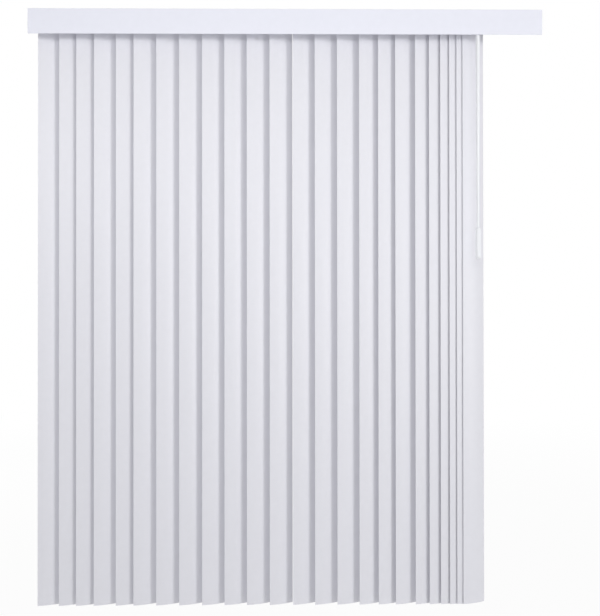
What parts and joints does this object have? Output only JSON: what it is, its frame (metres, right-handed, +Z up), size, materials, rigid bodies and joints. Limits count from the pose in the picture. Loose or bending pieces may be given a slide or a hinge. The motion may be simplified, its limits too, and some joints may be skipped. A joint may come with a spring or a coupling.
{
  "type": "vertical blind",
  "caption": "Vertical blind with curved white vanes on a track, a flat valance, and a wand that draws and tilts it.",
  "frame": {"origin": "on the wall, at the centre of the four outer wall screws", "axes": "+X along the rail to the right as seen from the room, +Y into the wall, +Z up"},
  "size_m": [1.829, 0.1388, 2.134],
  "materials": {
    "vane_sheet": "smooth satin sheet",
    "valance_sheet": "smooth satin sheet",
    "rail_paint": "white baked paint",
    "cap_moulding": "satin moulding",
    "rod_metal": "drawn, bare",
    "bracket_steel": "zinc plated",
    "carrier_moulding": "natural moulding",
    "clip_moulding": "milky moulding",
    "wand_joint_moulding": "moulded",
    "wand_rod": "polished rod",
    "wand_grip": "polished moulding"
  },
  "bodies": {
    "rail": {"headrail": "rail_paint", "rail_end_caps": "cap_moulding", "wall_brackets": "bracket_steel", "valance_front": "valance_sheet", "valance_clips": "clip_moulding", "carrier_01": "carrier_moulding"},
    "tilt_rod": {"tilt_rod": "rod_metal"},
    "carrier_02": {"carrier_02": "carrier_moulding"},
    "carrier_03": {"carrier_03": "carrier_moulding"},
    "carrier_04": {"carrier_04": "carrier_moulding"},
    "carrier_05": {"carrier_05": "carrier_moulding"},
    "carrier_06": {"carrier_06": "carrier_moulding"},
    "carrier_07": {"carrier_07": "carrier_moulding"},
    "carrier_08": {"carrier_08": "carrier_moulding"},
    "carrier_09": {"carrier_09": "carrier_moulding"},
    "carrier_10": {"carrier_10": "carrier_moulding"},
    "carrier_11": {"carrier_11": "carrier_moulding"},
    "carrier_12": {"carrier_12": "carrier_moulding"},
    "carrier_13": {"carrier_13": "carrier_moulding"},
    "carrier_14": {"carrier_14": "carrier_moulding"},
    "carrier_15": {"carrier_15": "carrier_moulding"},
    "carrier_16": {"carrier_16": "carrier_moulding"},
    "carrier_17": {"carrier_17": "carrier_moulding"},
    "carrier_18": {"carrier_18": "carrier_moulding"},
    "carrier_19": {"carrier_19": "carrier_moulding"},
    "carrier_20": {"carrier_20": "carrier_moulding"},
    "carrier_21": {"carrier_21": "carrier_moulding"},
    "carrier_22": {"carrier_22": "carrier_moulding"},
    "carrier_23": {"carrier_23": "carrier_moulding"},
    "carrier_24": {"carrier_24": "carrier_moulding"},
    "vane_01": {"vane_01": "vane_sheet"},
    "vane_02": {"vane_02": "vane_sheet"},
    "vane_03": {"vane_03": "vane_sheet"},
    "vane_04": {"vane_04": "vane_sheet"},
    "vane_05": {"vane_05": "vane_sheet"},
    "vane_06": {"vane_06": "vane_sheet"},
    "vane_07": {"vane_07": "vane_sheet"},
    "vane_08": {"vane_08": "vane_sheet"},
    "vane_09": {"vane_09": "vane_sheet"},
    "vane_10": {"vane_10": "vane_sheet"},
    "vane_11": {"vane_11": "vane_sheet"},
    "vane_12": {"vane_12": "vane_sheet"},
    "vane_13": {"vane_13": "vane_sheet"},
    "vane_14": {"vane_14": "vane_sheet"},
    "vane_15": {"vane_15": "vane_sheet"},
    "vane_16": {"vane_16": "vane_sheet"},
    "vane_17": {"vane_17": "vane_sheet"},
    "vane_18": {"vane_18": "vane_sheet"},
    "vane_19": {"vane_19": "vane_sheet"},
    "vane_20": {"vane_20": "vane_sheet"},
    "vane_21": {"vane_21": "vane_sheet"},
    "vane_22": {"vane_22": "vane_sheet"},
    "vane_23": {"vane_23": "vane_sheet"},
    "vane_24": {"vane_24": "vane_sheet"},
    "wand_tilter": {"wand_tilter": "wand_joint_moulding"},
    "wand_link": {"wand_link": "wand_joint_moulding"},
    "wand": {"wand_rod": "wand_rod", "wand_grip": "wand_grip"}
  },
  "joints": [
    {"name": "stack_traverse", "type": "slide", "parent": "rail", "child": "carrier_19", "axis": [1, 0, 0], "range_m": [-1.1107, 0]},
    {"name": "carrier_02_slide", "type": "slide", "parent": "rail", "child": "carrier_02", "axis": [1, 0, 0], "range_m": [-0.0632, 0.001]},
    {"name": "carrier_03_slide", "type": "slide", "parent": "rail", "child": "carrier_03", "axis": [1, 0, 0], "range_m": [-0.1107, 0.001]},
    {"name": "carrier_04_slide", "type": "slide", "parent": "rail", "child": "carrier_04", "axis": [1, 0, 0], "range_m": [-0.1603, 0.001]},
    {"name": "carrier_05_slide", "type": "slide", "parent": "rail", "child": "carrier_05", "axis": [1, 0, 0], "range_m": [-0.2254, 0.001]},
    {"name": "carrier_06_slide", "type": "slide", "parent": "rail", "child": "carrier_06", "axis": [1, 0, 0], "range_m": [-0.2749, 0.001]},
    {"name": "carrier_07_slide", "type": "slide", "parent": "rail", "child": "carrier_07", "axis": [1, 0, 0], "range_m": [-0.343, 0.001]},
    {"name": "carrier_08_slide", "type": "slide", "parent": "rail", "child": "carrier_08", "axis": [1, 0, 0], "range_m": [-0.4115, 0.001]},
    {"name": "carrier_09_slide", "type": "slide", "parent": "rail", "child": "carrier_09", "axis": [1, 0, 0], "range_m": [-0.4804, 0.001]},
    {"name": "carrier_10_slide", "type": "slide", "parent": "rail", "child": "carrier_10", "axis": [1, 0, 0], "range_m": [-0.5469, 0.001]},
    {"name": "carrier_11_slide", "type": "slide", "parent": "rail", "child": "carrier_11", "axis": [1, 0, 0], "range_m": [-0.6137, 0.001]},
    {"name": "carrier_12_slide", "type": "slide", "parent": "rail", "child": "carrier_12", "axis": [1, 0, 0], "range_m": [-0.6822, 0.001]},
    {"name": "carrier_13_slide", "type": "slide", "parent": "rail", "child": "carrier_13", "axis": [1, 0, 0], "range_m": [-0.752, 0.001]},
    {"name": "carrier_14_slide", "type": "slide", "parent": "rail", "child": "carrier_14", "axis": [1, 0, 0], "range_m": [-0.8179, 0.001]},
    {"name": "carrier_15_slide", "type": "slide", "parent": "rail", "child": "carrier_15", "axis": [1, 0, 0], "range_m": [-0.8846, 0.001]},
    {"name": "carrier_16_slide", "type": "slide", "parent": "rail", "child": "carrier_16", "axis": [1, 0, 0], "range_m": [-0.9504, 0.001]},
    {"name": "carrier_17_slide", "type": "slide", "parent": "rail", "child": "carrier_17", "axis": [1, 0, 0], "range_m": [-1.0055, 0.001]},
    {"name": "carrier_18_slide", "type": "slide", "parent": "rail", "child": "carrier_18", "axis": [1, 0, 0], "range_m": [-1.0535, 0.001]},
    {"name": "lead_traverse", "type": "slide", "parent": "carrier_19", "child": "carrier_24", "axis": [1, 0, 0], "range_m": [-0.038, 0.165]},
    {"name": "carrier_20_slide", "type": "slide", "parent": "carrier_19", "child": "carrier_20", "axis": [1, 0, 0], "range_m": [-0.0086, 0.034]},
    {"name": "carrier_21_slide", "type": "slide", "parent": "carrier_19", "child": "carrier_21", "axis": [1, 0, 0], "range_m": [-0.0162, 0.067]},
    {"name": "carrier_22_slide", "type": "slide", "parent": "carrier_19", "child": "carrier_22", "axis": [1, 0, 0], "range_m": [-0.0238, 0.1]},
    {"name": "carrier_23_slide", "type": "slide", "parent": "carrier_19", "child": "carrier_23", "axis": [1, 0, 0], "range_m": [-0.0314, 0.133]},
    {"name": "tilt", "type": "hinge", "parent": "rail", "child": "vane_01", "pos_m": [-0.85132, -0.06333, 0], "axis": [0, 0, 1], "range_deg": [0, 134.6]},
    {"name": "vane_02_tilt", "type": "hinge", "parent": "carrier_02", "child": "vane_02", "pos_m": [-0.77516, -0.06333, 0], "axis": [0, 0, 1], "range_deg": [0, 134.6]},
    {"name": "vane_03_tilt", "type": "hinge", "parent": "carrier_03", "child": "vane_03", "pos_m": [-0.71365, -0.06333, 0], "axis": [0, 0, 1], "range_deg": [0, 134.6]},
    {"name": "vane_04_tilt", "type": "hinge", "parent": "carrier_04", "child": "vane_04", "pos_m": [-0.64997, -0.06333, 0], "axis": [0, 0, 1], "range_deg": [0, 134.6]},
    {"name": "vane_05_tilt", "type": "hinge", "parent": "carrier_05", "child": "vane_05", "pos_m": [-0.57092, -0.06333, 0], "axis": [0, 0, 1], "range_deg": [0, 134.6]},
    {"name": "vane_06_tilt", "type": "hinge", "parent": "carrier_06", "child": "vane_06", "pos_m": [-0.50743, -0.06333, 0], "axis": [0, 0, 1], "range_deg": [0, 134.6]},
    {"name": "vane_07_tilt", "type": "hinge", "parent": "carrier_07", "child": "vane_07", "pos_m": [-0.4253, -0.06333, 0], "axis": [0, 0, 1], "range_deg": [0, 134.6]},
    {"name": "vane_08_tilt", "type": "hinge", "parent": "carrier_08", "child": "vane_08", "pos_m": [-0.34281, -0.06333, 0], "axis": [0, 0, 1], "range_deg": [0, 134.6]},
    {"name": "vane_09_tilt", "type": "hinge", "parent": "carrier_09", "child": "vane_09", "pos_m": [-0.25995, -0.06333, 0], "axis": [0, 0, 1], "range_deg": [0, 134.6]},
    {"name": "vane_10_tilt", "type": "hinge", "parent": "carrier_10", "child": "vane_10", "pos_m": [-0.17945, -0.06333, 0], "axis": [0, 0, 1], "range_deg": [0, 134.6]},
    {"name": "vane_11_tilt", "type": "hinge", "parent": "carrier_11", "child": "vane_11", "pos_m": [-0.09859, -0.06333, 0], "axis": [0, 0, 1], "range_deg": [0, 134.6]},
    {"name": "vane_12_tilt", "type": "hinge", "parent": "carrier_12", "child": "vane_12", "pos_m": [-0.0161, -0.06333, 0], "axis": [0, 0, 1], "range_deg": [0, 134.6]},
    {"name": "vane_13_tilt", "type": "hinge", "parent": "carrier_13", "child": "vane_13", "pos_m": [0.06766, -0.06333, 0], "axis": [0, 0, 1], "range_deg": [0, 134.6]},
    {"name": "vane_14_tilt", "type": "hinge", "parent": "carrier_14", "child": "vane_14", "pos_m": [0.14761, -0.06333, 0], "axis": [0, 0, 1], "range_deg": [0, 134.6]},
    {"name": "vane_15_tilt", "type": "hinge", "parent": "carrier_15", "child": "vane_15", "pos_m": [0.2283, -0.06333, 0], "axis": [0, 0, 1], "range_deg": [0, 134.6]},
    {"name": "vane_16_tilt", "type": "hinge", "parent": "carrier_16", "child": "vane_16", "pos_m": [0.30807, -0.06333, 0], "axis": [0, 0, 1], "range_deg": [0, 134.6]},
    {"name": "vane_17_tilt", "type": "hinge", "parent": "carrier_17", "child": "vane_17", "pos_m": [0.37718, -0.06333, 0], "axis": [0, 0, 1], "range_deg": [0, 134.6]},
    {"name": "vane_18_tilt", "type": "hinge", "parent": "carrier_18", "child": "vane_18", "pos_m": [0.43922, -0.06333, 0], "axis": [0, 0, 1], "range_deg": [0, 134.6]},
    {"name": "vane_19_tilt", "type": "hinge", "parent": "carrier_19", "child": "vane_19", "pos_m": [0.5114, -0.06333, 0], "axis": [0, 0, 1], "range_deg": [0, 134.6]},
    {"name": "vane_20_tilt", "type": "hinge", "parent": "carrier_20", "child": "vane_20", "pos_m": [0.56188, -0.06333, 0], "axis": [0, 0, 1], "range_deg": [0, 134.6]},
    {"name": "vane_21_tilt", "type": "hinge", "parent": "carrier_21", "child": "vane_21", "pos_m": [0.60276, -0.06333, 0], "axis": [0, 0, 1], "range_deg": [0, 134.6]},
    {"name": "vane_22_tilt", "type": "hinge", "parent": "carrier_22", "child": "vane_22", "pos_m": [0.6355, -0.06333, 0], "axis": [0, 0, 1], "range_deg": [0, 134.6]},
    {"name": "vane_23_tilt", "type": "hinge", "parent": "carrier_23", "child": "vane_23", "pos_m": [0.66191, -0.06333, 0], "axis": [0, 0, 1], "range_deg": [0, 134.6]},
    {"name": "vane_24_tilt", "type": "hinge", "parent": "carrier_24", "child": "vane_24", "pos_m": [0.6838, -0.06333, 0], "axis": [0, 0, 1], "range_deg": [0, 134.6]},
    {"name": "rod_turn", "type": "hinge", "parent": "rail", "child": "tilt_rod", "pos_m": [0, -0.05583, 0.0018], "axis": [1, 0, 0], "range_deg": [0, 1440]},
    {"name": "wand_turn", "type": "hinge", "parent": "carrier_24", "child": "wand_tilter", "pos_m": [0.6872, -0.12165, -0.0262], "axis": [0, 0, 1], "range_deg": [0, 1440]},
    {"name": "wand_forward", "type": "hinge", "parent": "wand_tilter", "child": "wand_link", "pos_m": [0.6872, -0.12165, -0.0262], "axis": [-1, 0, 0], "range_deg": [0, 6.5]},
    {"name": "wand_sideways", "type": "hinge", "parent": "wand_link", "child": "wand", "pos_m": [0.6872, -0.12165, -0.0422], "axis": [0, -1, 0], "range_deg": [-25, 25]}
  ],
  "couplings": [
    {"joint": "carrier_02_slide", "follows": "stack_traverse", "ratio": 0.055963},
    {"joint": "carrier_03_slide", "follows": "stack_traverse", "ratio": 0.098733},
    {"joint": "carrier_04_slide", "follows": "stack_traverse", "ratio": 0.14346},
    {"joint": "carrier_05_slide", "follows": "stack_traverse", "ratio": 0.20203},
    {"joint": "carrier_06_slide", "follows": "stack_traverse", "ratio": 0.24659},
    {"joint": "carrier_07_slide", "follows": "stack_traverse", "ratio": 0.30793},
    {"joint": "carrier_08_slide", "follows": "stack_traverse", "ratio": 0.36959},
    {"joint": "carrier_09_slide", "follows": "stack_traverse", "ratio": 0.43158},
    {"joint": "carrier_10_slide", "follows": "stack_traverse", "ratio": 0.49145},
    {"joint": "carrier_11_slide", "follows": "stack_traverse", "ratio": 0.55165},
    {"joint": "carrier_12_slide", "follows": "stack_traverse", "ratio": 0.61331},
    {"joint": "carrier_13_slide", "follows": "stack_traverse", "ratio": 0.67611},
    {"joint": "carrier_14_slide", "follows": "stack_traverse", "ratio": 0.7355},
    {"joint": "carrier_15_slide", "follows": "stack_traverse", "ratio": 0.79553},
    {"joint": "carrier_16_slide", "follows": "stack_traverse", "ratio": 0.85475},
    {"joint": "carrier_17_slide", "follows": "stack_traverse", "ratio": 0.90436},
    {"joint": "carrier_18_slide", "follows": "stack_traverse", "ratio": 0.94762},
    {"joint": "carrier_20_slide", "follows": "lead_traverse", "ratio": 0.2},
    {"joint": "carrier_21_slide", "follows": "lead_traverse", "ratio": 0.4},
    {"joint": "carrier_22_slide", "follows": "lead_traverse", "ratio": 0.6},
    {"joint": "carrier_23_slide", "follows": "lead_traverse", "ratio": 0.8},
    {"joint": "vane_02_tilt", "follows": "tilt", "ratio": 1},
    {"joint": "vane_03_tilt", "follows": "tilt", "ratio": 1},
    {"joint": "vane_04_tilt", "follows": "tilt", "ratio": 1},
    {"joint": "vane_05_tilt", "follows": "tilt", "ratio": 1},
    {"joint": "vane_06_tilt", "follows": "tilt", "ratio": 1},
    {"joint": "vane_07_tilt", "follows": "tilt", "ratio": 1},
    {"joint": "vane_08_tilt", "follows": "tilt", "ratio": 1},
    {"joint": "vane_09_tilt", "follows": "tilt", "ratio": 1},
    {"joint": "vane_10_tilt", "follows": "tilt", "ratio": 1},
    {"joint": "vane_11_tilt", "follows": "tilt", "ratio": 1},
    {"joint": "vane_12_tilt", "follows": "tilt", "ratio": 1},
    {"joint": "vane_13_tilt", "follows": "tilt", "ratio": 1},
    {"joint": "vane_14_tilt", "follows": "tilt", "ratio": 1},
    {"joint": "vane_15_tilt", "follows": "tilt", "ratio": 1},
    {"joint": "vane_16_tilt", "follows": "tilt", "ratio": 1},
    {"joint": "vane_17_tilt", "follows": "tilt", "ratio": 1},
    {"joint": "vane_18_tilt", "follows": "tilt", "ratio": 1},
    {"joint": "vane_19_tilt", "follows": "tilt", "ratio": 1},
    {"joint": "vane_20_tilt", "follows": "tilt", "ratio": 1},
    {"joint": "vane_21_tilt", "follows": "tilt", "ratio": 1},
    {"joint": "vane_22_tilt", "follows": "tilt", "ratio": 1},
    {"joint": "vane_23_tilt", "follows": "tilt", "ratio": 1},
    {"joint": "vane_24_tilt", "follows": "tilt", "ratio": 1},
    {"joint": "rod_turn", "follows": "tilt", "ratio": 10.698},
    {"joint": "wand_turn", "follows": "tilt", "ratio": 10.698}
  ]
}
